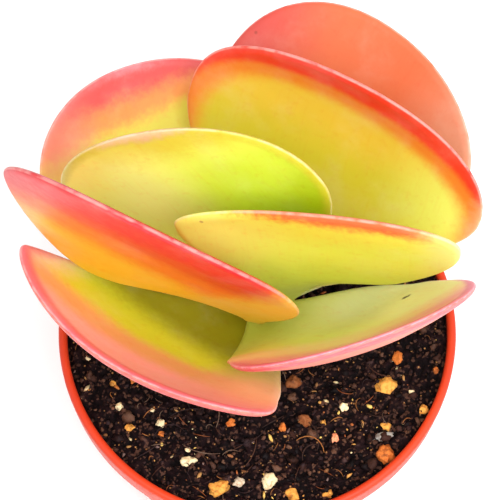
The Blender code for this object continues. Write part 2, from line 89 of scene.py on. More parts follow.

# How each leaf is flushed, outwards from its base colour, with some painted light and shade in it.
# A band runs where across * x + along * y + margin * rim, in millimetres of the blade, falls from
# the first limit to the second. A patch is an ellipse round a place in the blade, with its two
# radii, its turn and how soft its edge is. The last number is its strength. The flushes of
# leaf_front_left, leaf_front_right and leaf_inner_back are painted lighter to make up for the
# shade on their inner faces, and a few patches and one base colour are painted light or painted
# shadow, marked where they stand.
FLUSH_AND_PAINTED_LIGHT = {
    "leaf_far_back": ((170, 180, 60), [
        ("band", (222, 186, 50), (0, 1, 0), (20, 36), 1.0),
        ("band", (210, 102, 62), (0.35, 1, 0), (34, 50), 1.0),
        ("patch", (208, 136, 108), (-33, 62), (15, 20), 10, 0.8, 0.9),
        ("patch", (194, 66, 62), (38, 60), (15, 20), 0, 0.8, 0.9),
    ]),
    "leaf_mid_back": ((180, 180, 45), [
        ("band", (194, 178, 42), (0, 1, 0), (8, 30), 1.0),
        ("band", (216, 176, 54), (0, 1, 0), (34, 52), 1.0),
        ("patch", (216, 216, 96), (-36, 38), (15, 17), 0, 0.9, 1.0),
        ("band", (216, 116, 34), (0, 0.4, -1), (7, 15), 1.0),
        ("band", (219, 46, 25), (0, 0.4, -1), (15.5, 20), 1.0),
        ("patch", (210, 150, 110), (-43, 38), (4, 11), 0, 0.8, 0.8),
        ("patch", (225, 75, 72), (14, 66), (12, 3), 0, 0.8, 0.6),
    ]),
    "leaf_back_left": ((180, 185, 60), [
        ("band", (215, 200, 70), (0, 1, 0), (20, 46), 1.0),
        ("band", (226, 142, 72), (0.04, 1, 0), (54, 60), 1.0),
        ("band", (204, 74, 74), (0.04, 1, 0), (60, 67), 1.0),
        ("patch", (220, 116, 106), (28, 60), (10, 10), 0, 0.9, 0.8),
        ("patch", (214, 132, 140), (0, 73), (24, 3), 0, 0.8, 0.7),
    ]),
    "leaf_inner_back": ((162, 180, 14), [
        ("band", (204, 222, 62), (0.6, 1, 0), (12, 34), 1.0),
        ("band", (226, 246, 98), (0.5, 1, 0), (36, 56), 1.0),
        ("band", (214, 206, 66), (0.05, 1, 0), (52, 62), 1.0),
        # Pale patch low on the right: painted light, making up for the shade and warm bounce
        # between the leaves there
        ("patch", (240, 255, 160), (16, 36), (14, 20), 20, 0.9, 1.0),
        ("patch", (246, 236, 130), (26, 58), (8, 10), 20, 0.9, 0.8),
        ("band", (186, 172, 44), (0, 0, -1), (-3.0, -0.4), 0.8),
        ("patch", (215, 180, 140), (0, 67.5), (14, 2.2), 0, 0.8, 0.9),
    ]),
    "leaf_mid_front": ((165, 155, 40), [
        ("band", (230, 188, 44), (0, 1, 0), (8, 22), 1.0),
        ("band", (230, 116, 28), (1, 0.12, 0), (-10, 7), 1.0),
        ("band", (214, 62, 14), (1, 0.1, 0), (7, 17), 1.0),
        ("band", (214, 16, 12), (1, 0.12, 0), (18, 27), 1.0),
        ("band", (228, 192, 66), (0.15, -1, 0), (-30, -20), 1.0),
        ("patch", (196, 50, 62), (8, 87), (18, 9), -8, 0.8, 0.8),
        ("patch", (216, 150, 92), (-22, 84), (14, 8), 25, 0.8, 0.7),
        ("patch", (232, 178, 66), (-26, 68), (10, 12), 0, 0.8, 0.7),
        ("band", (188, 22, 34), (0.06, 0.02, -1), (1.6, 2.6), 0.9),
    ]),
    "leaf_inner_front": ((160, 176, 88), [
        ("band", (188, 212, 66), (0, 1, 0), (8, 26), 1.0),
        ("band", (212, 226, 70), (0, 1, 0), (24, 40), 1.0),
        ("band", (218, 208, 62), (0, 1, 0), (40, 52), 1.0),
        # Pale patch on the left: painted light, making up for the shade cast by leaf_mid_front
        ("patch", (236, 252, 120), (-24, 38), (18, 22), 0, 0.9, 0.9),
        ("band", (216, 96, 44), (0.12, 1, 0), (54.0, 59.0), 1.0),
        ("patch", (214, 208, 110), (37, 44), (6, 12), 0, 0.9, 0.8),
    ]),
    "leaf_front_right": ((188, 198, 70), [
        ("band", (240, 240, 120), (0, 1, 0), (6, 26), 1.0),
        ("patch", (204, 212, 142), (20, 22), (16, 14), 0, 0.9, 0.9),
        ("band", (250, 250, 160), (0.35, 1, 0), (28, 46), 1.0),
        ("band", (255, 222, 160), (-0.6, 1, 0), (30, 42), 1.0),
        ("band", (255, 172, 172), (-0.5, 1, 0), (42, 54), 1.0),
        ("band", (236, 120, 150), (0, 0.07, -1), (1.0, 3.0), 1.0),
        ("patch", (222, 96, 116), (-36, 46), (4, 16), 0, 0.8, 0.8),
        ("patch", (66, 44, 20), (25, 33), (1.2, 0.9), 0, 0.5, 0.9),
    ]),
    # Dark olive base colour at the stalk end: partly the leaf's own olive, partly painted shadow
    # cast by leaf_mid_front above
    "leaf_front_left": ((142, 134, 10), [
        ("band", (210, 206, 44), (0.5, 1, 0), (20, 36), 1.0),
        ("band", (228, 160, 102), (0.65, 1, 0), (38, 48), 1.0),
        ("band", (246, 166, 162), (0.6, 1, 0), (50, 62), 1.0),
        ("patch", (246, 186, 146), (28, 28), (12, 20), -10, 0.8, 1.0),
        ("patch", (244, 190, 190), (-37, 58), (8, 12), 0, 0.8, 0.9),
        ("band", (230, 108, 120), (0, 0.12, -1), (2.4, 6.8), 1.0),
    ]),
}

# Outer faces of the leaves that stand in the open on that side, darker than their inner ones: the
# flush of these leaves is painted lighter to make up for the shade on their inner faces, and this
# factor takes that painted light off the outer faces
PAINTED_LIGHT_OFF_OUTER_FACES = {
    "leaf_front_left": (0.86, 0.58, 0.42),
    "leaf_front_right": (0.84, 0.58, 0.42),
    "leaf_inner_back": (0.90, 0.76, 0.55),
}

# Chips in the soil: place and two half sizes in millimetres, turn, colour
CREAM = (238, 220, 176)
AMBER = (226, 160, 74)
RUST = (206, 116, 52)
BROWN = (132, 78, 44)
PEACH = (250, 160, 120)
OYSTER = (204, 190, 166)
STONE = (150, 146, 140)
CHIPS = (
    (-18.0, -34.8, 1.9, 1.3, 10, CREAM), (-10.0, -41.9, 2.7, 1.9, 35, AMBER),
    (-25.4, -24.2, 1.1, 1.0, 50, CREAM), (-33.5, -25.3, 1.1, 0.9, 0, AMBER),
    (-36.3, -19.8, 0.8, 1.0, 0, CREAM), (-38.1, -13.1, 0.8, 0.7, 0, AMBER),
    (-27.7, -20.8, 0.6, 0.5, 0, CREAM), (-32.7, -12.0, 1.1, 0.9, 40, RUST),
    (-45.0, -6.1, 0.6, 0.5, 0, CREAM), (-25.0, -27.1, 0.8, 0.7, 0, RUST),
    (-18.1, -31.4, 0.7, 0.6, 0, CREAM), (-6.8, -24.5, 1.1, 1.0, 0, RUST),
    (33.8, -14.6, 2.5, 2.2, 20, AMBER), (33.4, -33.4, 2.3, 2.3, 60, RUST),
    (33.6, -26.0, 1.2, 1.1, 0, AMBER), (43.4, -21.4, 1.1, 1.1, 0, AMBER),
    (40.5, -16.5, 0.7, 0.6, 0, CREAM), (22.6, -20.4, 1.1, 1.1, 0, CREAM),
    (3.0, -40.5, 1.8, 1.7, 80, CREAM), (9.1, -44.0, 1.9, 1.5, 0, AMBER),
    (18.3, -44.0, 1.4, 1.2, 0, AMBER), (-4.9, -40.7, 1.4, 1.2, 0, OYSTER),
    (17.4, -24.8, 0.7, 0.8, 0, AMBER), (9.5, -13.5, 1.8, 1.7, 30, BROWN),
    (12.3, -24.2, 1.5, 1.6, 70, BROWN), (6.6, -26.0, 0.9, 1.0, 0, RUST),
    (37.2, -6.8, 1.2, 1.6, 0, RUST), (47.0, -10.6, 0.8, 0.8, 0, RUST),
    (20.2, -28.8, 0.8, 1.2, 0, PEACH), (33.3, -28.4, 2.5, 1.1, 12, STONE),
)
CRUMB_COUNT = 2200
FLECK_COUNT = 560
FIBRE_COUNT = 280
CRUMB_TINTS = ((7, 2, 3), (16, 6, 8), (32, 18, 18), (74, 50, 40), (11, 4, 6), (44, 30, 32),
               (92, 64, 50), (58, 36, 30))
FLECK_TINTS = ((206, 150, 80), (176, 132, 80), (226, 190, 104), (226, 208, 160), (170, 98, 54),
               (190, 120, 60), (128, 88, 56), (120, 96, 90), (150, 100, 64), (108, 72, 54))
FIBRE_TINTS = ((130, 72, 38), (66, 40, 30), (104, 84, 70), (46, 30, 26), (150, 96, 50),
               (40, 28, 30))

# Camera and light
CAMERA_PLACE = (-3.9 * MM, -206.9 * MM, 658.7 * MM)
CAMERA_TILT = 22
CAMERA_LENS = 164.57


# Numbers

def mix(low, high, share):
    """Blend two numbers or arrays."""
    return low + (high - low) * share


def ease(share):
    """Smooth step from 0 to 1."""
    share = np.clip(share, 0, 1)
    return share * share * (3 - 2 * share)


def linear(colour):
    """Scene colour of an 8-bit screen colour."""
    channels = [c / 255 for c in colour]
    return tuple(c / 12.92 if c <= 0.04045 else ((c + 0.055) / 1.055) ** 2.4 for c in channels)


# Meshes

def grid_faces(rows, columns, start=0, flip=False):
    """Quads of a grid of vertices stored row by row."""
    index = np.arange(rows * columns).reshape(rows, columns) + start
    corners = [index[:-1, :-1], index[:-1, 1:], index[1:, 1:], index[1:, :-1]]
    if flip:
        corners = corners[::-1]
    return np.stack([c.ravel() for c in corners], 1)


def mesh_from(name, points, faces):
    """Mesh from an array of points and a list of arrays of faces."""
    mesh = bpy.data.meshes.new(name)
    mesh.from_pydata(points.tolist(), [], [tuple(f) for block in faces for f in block.tolist()])
    mesh.validate()
    mesh.shade_smooth()
    return mesh


def add_piece(name, mesh, material, slot, *nodes):
    """Put a piece of the object into the scene, riding on the one body."""
    piece = bpy.data.objects.new(name, mesh)
    bpy.context.scene.collection.objects.link(piece)
    mesh.materials.append(material)
    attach(piece, "root")
    if nodes:
        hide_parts(*nodes)
    return piece


def put_attribute(mesh, name, kind, values):
    """Store values on a mesh's vertices for its material to read."""
    attribute = mesh.attributes.new(name, kind, "POINT")
    key = "vector" if kind == "FLOAT_VECTOR" else "value"
    attribute.data.foreach_set(key, np.asarray(values, np.float32).ravel())


# Leaf shape, by the same rules as the model's

def blade_axes(leaf, share):
    """Directions along, across and out of the blade at shares of its length."""
    azimuth, rise, roll, twist, lean, curve = leaf[0], leaf[5], *leaf[6:10]
    slope = np.radians(mix(*rise, share))
    compass = math.radians(azimuth)
    turn = np.radians(roll * ease(share / 0.4) + twist * share)[..., None]
    swing = np.radians(lean * ease(share / 0.4) + curve * share)[..., None]
    flat = np.cos(slope)
    along = np.stack([flat * math.cos(compass), flat * math.sin(compass), np.sin(slope)], -1)
    level = np.zeros_like(along) + (-math.sin(compass), math.cos(compass), 0)
    upright = np.cross(along, level)
    across = level * np.cos(turn) + upright * np.sin(turn)
    out = upright * np.cos(turn) - level * np.sin(turn)
    forward = along * np.cos(swing) + across * np.sin(swing)
    sideways = across * np.cos(swing) - along * np.sin(swing)
    return forward, sideways, out


def half_width(leaf, side, share):
    """Half width of the blade at shares of its length, on the side given by the sign."""
    width, base, widest, lopsided = leaf[11:15]
    full = width / 2
    place = np.where(side > 0, widest[0], widest[1])
    below = mix(base, full, np.sin(math.pi / 2 * np.clip(share / place, 0, 1)) ** 1.15)
    beyond = np.clip((share - place) / (1 - place), 0, 1)
    above = full * (1 - beyond ** 2.15) ** (1 / 2.15)
    uneven = 1 + np.where(side > 0, lopsided, -lopsided) * ease(share / 0.3)
    return np.where(share < place, below, above) * uneven


def leaf_sheet(leaf):
    """Middle sheet of a leaf in millimetres: points, thickness and places in the blade."""
    azimuth, height, reach, offset, stalk = leaf[:5]
    length, base, widest = leaf[10], leaf[12], leaf[13]
    seat = math.radians(azimuth + offset)
    outwards = np.array((math.cos(seat), math.sin(seat), 0))
    axis = np.array((STEM_PLACE[0] / MM, STEM_PLACE[1] / MM, 0))
    start = axis + outwards * reach + (0, 0, height)
    steps = 40
    moves = blade_axes(leaf, (np.arange(steps) + 0.5) / steps)[0] * length / steps
    midrib = np.concatenate([[start], start + np.cumsum(moves, 0)])

    across = np.sin(np.linspace(-1, 1, COLUMNS + 1) * math.pi / 2)
    up = 1 - (1 - np.linspace(0, 1, BLADE_ROWS + 1)) ** 1.55
    side, rise = np.meshgrid(across, up)
    middle = sum(widest) / 2
    lift = np.clip((rise - 0.5) / 0.5, 0, 1)
    high = lift * np.sqrt(1 - side ** 2 / 2)
    round_side = side * np.sqrt(1 - lift ** 2 / 2) / np.sqrt(np.maximum(1 - high ** 2, 1e-9))
    share = np.where(rise < 0.5, middle * rise / 0.5, middle + (1 - middle) * high)
    side = np.where(rise < 0.5, side, np.clip(round_side, -1, 1))
    sideways, out = blade_axes(leaf, share)[1:]
    aside = side * half_width(leaf, side, share)
    place = share * steps
    index = np.minimum(place.astype(int), steps - 1)
    rest = (place - index)[..., None]
    centre = midrib[index] * (1 - rest) + midrib[index + 1] * rest
    blade = centre + sideways * aside[..., None] + out * (leaf[15] * 1e-3 * aside ** 2)[..., None]
    inside = (1 - np.abs(side) ** 5) * (1 - rise ** 8)
    thick = mix(EDGE_THICK, mix(BASE_THICK, TIP_THICK, share), inside)

    first, level = (v[0] for v in blade_axes(leaf, np.zeros(1))[:2])
    bend = start - first * stalk
    foot = axis * (1, 1, 0) + (0, 0, bend[2])
    foot = foot + outwards * min(2.0, (bend - foot) @ outwards)
    rows = np.linspace(0, 1, STALK_ROWS, endpoint=False)[:, None, None]
    line = mix(mix(foot, bend, rows), mix(bend, start, rows), rows)
    spread = across[None, :, None] * mix(min(3.6, base), base, rows)
    stalks = line + level * spread
    edge = mix(BASE_THICK, EDGE_THICK, np.abs(across) ** 5)
    stalk_thick = mix(STALK_THICK, edge[None, :], ease(rows[..., 0]))
    stalk_along = np.repeat((rows[:, :, 0] - 1) * stalk, COLUMNS + 1, 1)
    points = np.concatenate([stalks, blade])
    thickness = np.concatenate([stalk_thick, thick])
    aside = np.concatenate([spread[..., 0], aside])
    return points, thickness, aside, np.concatenate([stalk_along, share * length])


def distance_to_margin(points):
    """Distance of each point from the outline of its sheet, in the sheet's own units."""
    outline = np.concatenate([points[:, 0], points[-1, 1:-1], points[:, -1][::-1]])
    start, step = outline[:-1], outline[1:] - outline[:-1]
    flat = points.reshape(-1, 3)
    best = np.full(len(flat), 1e9)
    size = np.maximum((step ** 2).sum(1), 1e-12)
    for origin, run, square in zip(start, step, size):
        share = np.clip((flat - origin) @ run / square, 0, 1)
        gap = ((flat - origin - share[:, None] * run) ** 2).sum(1)
        best = np.minimum(best, gap)
    return np.sqrt(best).reshape(points.shape[:2])


def stem_reach(height):
    """Radius of the stem at a height, in metres."""
    share = (height - STEM_FOOT) / (STEM_TOP - STEM_FOOT)
    swelling = sum(np.exp(-((height - node) / (2 * MM)) ** 2) for node in (0.092, 0.098, 0.103))
    return mix(6.2 * MM, 4.2 * MM, share) + 0.35 * MM * swelling


def make_leaf(name, leaf):
    """One fleshy leaf with a rounded margin."""
    points, thick, aside, along = leaf_sheet(leaf)
    rim = distance_to_margin(points)
    out = np.cross(np.gradient(points, axis=1), np.gradient(points, axis=0))
    out /= np.linalg.norm(out, axis=-1, keepdims=True) + 1e-12
    near = np.clip(rim / MARGIN_ROUND, 0, 1)
    half = thick / 2 * np.sqrt(1 - (1 - near) ** 2)
    wave = np.array([noise.noise(Vector(p) / 13) + 0.5 * noise.noise(Vector(p) / 5)
                     for p in points.reshape(-1, 3)]).reshape(rim.shape)
    half = half - 0.10 * (wave + 1) * np.clip(rim / 4, 0, 1)
    top = points + out * half[..., None]
    bottom = points - out * half[..., None]
    rows, columns = rim.shape
    count = rows * columns
    both = np.concatenate([top.reshape(-1, 3), bottom.reshape(-1, 3)]) * MM
    faces = [grid_faces(rows, columns), grid_faces(rows, columns, count, True)]
    index = np.arange(columns)
    cap = np.stack([index[1:], index[:-1], index[:-1] + count, index[1:] + count], 1)
    mesh = mesh_from(name, both, faces + [cap])
    place = np.stack([aside, along, rim], -1).reshape(-1, 3)
    put_attribute(mesh, "place", "FLOAT_VECTOR", np.concatenate([place, place]))
    put_attribute(mesh, "inner", "FLOAT", np.repeat((0.0, 1.0), count))
    weld = bmesh.new()
    weld.from_mesh(mesh)
    bmesh.ops.remove_doubles(weld, verts=weld.verts, dist=0.002 * MM)
    weld.to_mesh(mesh)
    weld.free()
    return add_piece(f"{name}_skin", mesh, leaf_material(name), name, name)


# Materials

class Nodes:
    """Short names for building a material's nodes."""

    def __init__(self, name, roughness, coat=0.0):
        self.material = bpy.data.materials.new(name)
        self.material.use_nodes = True
        self.tree = self.material.node_tree
        self.shader = self.tree.nodes["Principled BSDF"]
        self.shader.inputs["Roughness"].default_value = roughness
        self.shader.inputs["Coat Weight"].default_value = coat

    def add(self, kind, links=(), **settings):
        """New node with its settings, and its inputs linked or set by number or name."""
        node = self.tree.nodes.new(kind)
        for key, value in settings.items():
            setattr(node, key, value)
        for key, value in dict(links).items():
            self.give(node.inputs[key], value)
        return node

    def give(self, socket, value):
        """Link a socket, or set its value."""
        if isinstance(value, bpy.types.NodeSocket):
            self.tree.links.new(value, socket)
        elif isinstance(value, tuple) and len(value) == 3 and socket.type == "RGBA":
            socket.default_value = (*value, 1.0)
        else:
            socket.default_value = value

    def math(self, operation, *values):
        """Math node."""
        return self.add("ShaderNodeMath", dict(enumerate(values)), operation=operation).outputs[0]

    def step(self, value, low, high, strength=1.0):
        """Smooth step of a value between two limits."""
        links = {"Value": value, "From Min": low, "From Max": high, "To Max": strength}
        node = self.add("ShaderNodeMapRange", links, interpolation_type="SMOOTHSTEP")
        return node.outputs[0]

    def blend(self, share, first, second, kind="MIX"):
        """Mix two colours."""
        node = self.add("ShaderNodeMix", data_type="RGBA", blend_type=kind)
        for key, value in ((0, share), (6, first), (7, second)):
            self.give(node.inputs[key], value)
        return node.outputs[2]

    def noise(self, place, scale, detail=2.0, roughness=0.5, distortion=0.0):
        """Noise texture's value, about 0.5."""
        links = {"Vector": place, "Scale": scale, "Detail": detail, "Roughness": roughness,
                 "Distortion": distortion}
        return self.add("ShaderNodeTexNoise", links).outputs[0]

    def bump(self, height, distance, strength=1.0, under=None):
        """Bump in metres."""
        links = {"Height": height, "Distance": distance, "Strength": strength}
        if under:
            links["Normal"] = under
        return self.add("ShaderNodeBump", links).outputs[0]


def leaf_material(name):
    """Waxy skin of a leaf: its flush with painted light and shade in places, streaks, specks, pale
    margin line and bloom.
    """
    base, zones = FLUSH_AND_PAINTED_LIGHT[name]
    n = Nodes(name, 0.42)
    spot = n.add("ShaderNodeTexCoord").outputs["Object"]
    place = n.add("ShaderNodeAttribute", attribute_name="place").outputs["Vector"]
    seed = 1.0 + 3.7 * list(LEAVES).index(name)
    moved = n.add("ShaderNodeVectorMath", {0: spot, 1: (seed, seed * 0.3, 0)}, operation="ADD")
    spot = moved.outputs[0]
    cloud = n.add("ShaderNodeTexNoise", {"Vector": spot, "Scale": 85, "Detail": 4,
                                         "Roughness": 0.6}).outputs[1]
    shift = n.add("ShaderNodeVectorMath", {0: cloud, 1: (0.5, 0.5, 0.5)}, operation="SUBTRACT")
    shift = n.add("ShaderNodeVectorMath", {0: shift.outputs[0], 1: (5, 5, 1.2)},
                  operation="MULTIPLY")
    grain = n.add("ShaderNodeTexNoise", {"Vector": spot, "Scale": 520, "Detail": 4,
                                         "Roughness": 0.7}).outputs[1]
    jitter = n.add("ShaderNodeVectorMath", {0: grain, 1: (0.5, 0.5, 0.5)}, operation="SUBTRACT")
    jitter = n.add("ShaderNodeVectorMath", {0: jitter.outputs[0], 1: (4.5, 4.5, 1.4)},
                   operation="MULTIPLY")
    shift = n.add("ShaderNodeVectorMath", {0: shift.outputs[0], 1: jitter.outputs[0]},
                  operation="ADD")
    drawn = n.add("ShaderNodeVectorMath", {0: place, 1: shift.outputs[0]}, operation="ADD")
    drawn = drawn.outputs[0]
    colour = linear(base)
    for zone in zones:
        tint, strength = linear(zone[1]), zone[-1]
        if zone[0] == "band":
            weights, limits = zone[2:4]
            line = n.add("ShaderNodeVectorMath", {0: drawn, 1: weights}, operation="DOT_PRODUCT")
            share = n.step(line.outputs["Value"], *limits, strength)
        else:
            (x, y), (wide, high), turn, soft = zone[2:6]
            links = {"Vector": drawn, "Location": (x, y, 0), "Scale": (wide, high, 1e6),
                     "Rotation": (0, 0, math.radians(turn))}
            oval = n.add("ShaderNodeMapping", links, vector_type="TEXTURE").outputs[0]
            reach = n.add("ShaderNodeVectorMath", {0: oval}, operation="LENGTH").outputs["Value"]
            share = n.step(reach, 1 + soft, 1 - soft, strength)
        colour = n.blend(share, colour, tint)
    parts = n.add("ShaderNodeSeparateXYZ", {0: place})
    rim = parts.outputs[2]
    stretched = n.add("ShaderNodeVectorMath", {0: place, 1: (1.1, 0.09, 0)}, operation="MULTIPLY")
    streak = n.noise(stretched.outputs[0], 1.0, 3)
    colour = n.blend(n.step(streak, 0.50, 0.80, 0.12), colour, (1.0, 0.55, 0.30), "MULTIPLY")
    mottle = n.noise(spot, 420, 3, 0.6)
    colour = n.blend(n.step(mottle, 0.54, 0.72, 0.14), colour, (0.95, 0.45, 0.28), "MULTIPLY")
    dots = n.add("ShaderNodeTexVoronoi", {"Vector": spot, "Scale": 150}).outputs
    rare = n.step(n.add("ShaderNodeSeparateColor", {0: dots[1]}).outputs[0], 0.93, 0.96)
    dot = n.math("MULTIPLY", n.step(dots[0], 0.10, 0.04, 0.55), rare)
    colour = n.blend(dot, colour, linear((120, 40, 24)))
    patchy = n.step(n.noise(spot, 320, 3), 0.25, 0.6, 0.26)
    pale_margin = n.math("MULTIPLY", n.step(rim, 0.45, 0.1), patchy)
    colour = n.blend(pale_margin, colour, linear(WHITE_PINK))
    bloom = n.step(n.noise(spot, 60, 5, 0.62), 0.46, 0.75, 0.08)
    colour = n.blend(bloom, colour, linear((236, 232, 214)))
    # Painted light: the flush of these leaves is painted lighter for the shade on their inner
    # faces; here their outer faces are multiplied back down
    if name in PAINTED_LIGHT_OFF_OUTER_FACES:
        inner = n.add("ShaderNodeAttribute", attribute_name="inner").outputs["Fac"]
        colour = n.blend(n.step(inner, 0.9, 0.3), colour, PAINTED_LIGHT_OFF_OUTER_FACES[name], "MULTIPLY")
    n.give(n.shader.inputs["Base Color"], colour)
    n.give(n.shader.inputs["Roughness"], n.math("MULTIPLY_ADD", mottle, 0.22, 0.33))
    n.shader.inputs["Subsurface Weight"].default_value = 0.12
    n.shader.inputs["Subsurface Radius"].default_value = (1.0, 0.6, 0.2)
    n.shader.inputs["Subsurface Scale"].default_value = 2.0 * MM
    n.shader.inputs["Specular IOR Level"].default_value = 0.4
    skin = n.bump(mottle, 0.05 * MM, 0.7)
    n.give(n.shader.inputs["Normal"], n.bump(streak, 0.05 * MM, 0.5, skin))
    return n.material


def plastic_material():
    """Orange-red moulded plastic, lightly scuffed and dusty."""
    n = Nodes("pot_plastic", 0.36)
    n.shader.inputs["Specular IOR Level"].default_value = 0.25
    spot = n.add("ShaderNodeTexCoord").outputs["Object"]
    cloud = n.noise(spot, 30, 4, 0.6)
    colour = n.blend(n.step(cloud, 0.35, 0.7), linear((200, 58, 26)), linear((186, 50, 24)))
    grime = n.noise(spot, 260, 5, 0.65)
    colour = n.blend(n.step(grime, 0.60, 0.78, 0.35), colour, linear((140, 44, 26)))
    height = n.add("ShaderNodeSeparateXYZ", {0: spot}).outputs[2]
    splash = n.math("MULTIPLY", n.step(height, 0.003, 0.0, 0.6), n.step(grime, 0.45, 0.6))
    colour = n.blend(splash, colour, linear((120, 62, 44)))
    n.give(n.shader.inputs["Base Color"], colour)
    n.give(n.shader.inputs["Roughness"], n.math("MULTIPLY_ADD", grime, 0.25, 0.32))
    fine = n.bump(n.noise(spot, 1400, 2), 0.02 * MM, 0.5)
    n.give(n.shader.inputs["Normal"], n.bump(cloud, 0.12 * MM, 0.4, fine))
    return n.material


def soil_material():
    """Damp peaty mix: near black, with brown and tan grains and painted shade in its hollows."""
    n = Nodes("soil", 0.85)
    n.shader.inputs["Specular IOR Level"].default_value = 0.08
    spot = n.add("ShaderNodeTexCoord").outputs["Object"]
    coarse = n.noise(spot, 420, 5, 0.75)
    proud = n.add("ShaderNodeAttribute", attribute_name="proud").outputs["Fac"]
    # Darker where the crumbled surface lies low: partly the peat's own dark, partly painted shade
    # in the hollows
    level = n.math("MULTIPLY_ADD", coarse, 1.6, n.math("SUBTRACT", proud, 0.85))
    colour = n.blend(n.step(level, -0.45, 0.45), linear((5, 1, 2)), linear((26, 11, 13)))
    colour = n.blend(n.step(level, 0.45, 1.1), colour, linear((70, 50, 48)))
    grains = n.add("ShaderNodeTexVoronoi", {"Vector": spot, "Scale": 1500}).outputs
    pick = n.add("ShaderNodeSeparateColor", {0: grains[1]}).outputs
    colour = n.blend(n.step(pick[0], 0.80, 0.95, 0.6), colour, linear((92, 62, 50)))
    colour = n.blend(n.step(pick[2], 0.75, 0.95, 0.7), colour, linear((12, 4, 6)))
    rare = n.math("MULTIPLY", n.step(pick[1], 0.965, 0.98, 0.8), n.step(grains[0], 0.5, 0.2))
    colour = n.blend(rare, colour, linear((176, 124, 74)))
    n.give(n.shader.inputs["Base Color"], colour)
    n.give(n.shader.inputs["Roughness"], n.math("MULTIPLY_ADD", coarse, 0.6, 0.45))
    fine = n.bump(n.noise(spot, 2200, 3, 0.7), 0.15 * MM)
    n.give(n.shader.inputs["Normal"], n.bump(coarse, 0.5 * MM, 0.8, fine))
    return n.material


def grit_material():
    """Stone and bark bits, each in its own stored colour."""
    n = Nodes("grit", 0.7)
    n.shader.inputs["Specular IOR Level"].default_value = 0.12
    spot = n.add("ShaderNodeTexCoord").outputs["Object"]
    own = n.add("ShaderNodeAttribute", attribute_name="tint").outputs["Color"]
    grain = n.noise(spot, 900, 4, 0.65)
    colour = n.blend(n.step(grain, 0.46, 0.70, 0.8), own, (0.62, 0.36, 0.22), "MULTIPLY")
    dirt = n.noise(spot, 500, 3, 0.6)
    colour = n.blend(n.step(dirt, 0.52, 0.66, 0.55), colour, linear((60, 34, 26)))
    n.give(n.shader.inputs["Base Color"], colour)
    n.give(n.shader.inputs["Roughness"], n.math("MULTIPLY_ADD", grain, 0.4, 0.45))
    n.give(n.shader.inputs["Normal"], n.bump(grain, 0.2 * MM))
    return n.material


def stem_material():
    """Green to tan stem with ring scars."""
    n = Nodes("stem_flesh", 0.5)
    spot = n.add("ShaderNodeTexCoord").outputs["Object"]
    height = n.add("ShaderNodeSeparateXYZ", {0: spot}).outputs[2]
    cloud = n.noise(spot, 220, 4, 0.6)
    colour = n.blend(n.step(height, 0.088, 0.106), linear((150, 112, 66)), linear((170, 176, 70)))
    colour = n.blend(n.step(cloud, 0.52, 0.7, 0.5), colour, linear((120, 88, 48)))
    n.give(n.shader.inputs["Base Color"], colour)
    n.give(n.shader.inputs["Roughness"], n.math("MULTIPLY_ADD", cloud, 0.3, 0.35))
    n.give(n.shader.inputs["Normal"], n.bump(cloud, 0.25 * MM))
    return n.material


def floor_material():
    """Plain pale floor."""
    n = Nodes("floor", 0.9)
    n.shader.inputs["Base Color"].default_value = (0.94, 0.94, 0.94, 1)
    n.shader.inputs["Specular IOR Level"].default_value = 0.1
    return n.material


# Pot

def body_radius(height):
    """Outer radius of the tapered body at a height."""
    return mix(BODY_FOOT_RADIUS, BODY_TOP_RADIUS, height / (POT_HEIGHT - COLLAR_HEIGHT))


def pot_profile():
    """Section of the pot, from the middle of its floor over the lip to the underside."""
    shelf = POT_HEIGHT - COLLAR_HEIGHT - WALL
    collar = RIM_RADIUS - COLLAR_WALL
    floor = FLOOR + CHANNEL_DEPTH
    lip_inner = RIM_RADIUS - LIP_WIDTH
    lip_half = LIP_WIDTH / 2
    foot_inner = BODY_FOOT_RADIUS - FOOT_WIDTH
    collar_foot = POT_HEIGHT - COLLAR_HEIGHT
    inside = [
        (0, FLOOR), (PAD_RADIUS - 0.8 * MM, FLOOR), (PAD_RADIUS + 0.8 * MM, floor),
        (body_radius(floor) - WALL - 4 * MM, floor),
        (body_radius(floor) - WALL - 1.2 * MM, floor + 1.2 * MM),
        (body_radius(floor + 4 * MM) - WALL, floor + 4 * MM),
        (body_radius(shelf) - WALL, shelf),
        (collar, shelf + 1.2 * MM),
        (collar, POT_HEIGHT - LIP_DEPTH - 0.4 * MM),
        (lip_inner, POT_HEIGHT - LIP_DEPTH),
    ]
    lip = [(lip_inner + lip_half * (1 - math.cos(a)), POT_HEIGHT + lip_half * (math.sin(a) - 1))
           for a in np.linspace(0, math.pi, 15)]
    outside = [
        (RIM_RADIUS, POT_HEIGHT - LIP_DEPTH),
        (RIM_RADIUS - 0.5 * MM, collar_foot + 0.6 * MM),
        (RIM_RADIUS - 1.1 * MM, collar_foot),
        (body_radius(collar_foot), collar_foot - 0.6 * MM),
        (body_radius(2 * MM), 2 * MM),
        (BODY_FOOT_RADIUS - 0.5 * MM, 0.5 * MM),
        (BODY_FOOT_RADIUS - 1.2 * MM, 0),
        (foot_inner, 0), (foot_inner - 0.6 * MM, CHANNEL_DEPTH),
        (PAD_RADIUS + 0.6 * MM, CHANNEL_DEPTH), (PAD_RADIUS, 0), (0, 0),
    ]
    return inside + lip + outside


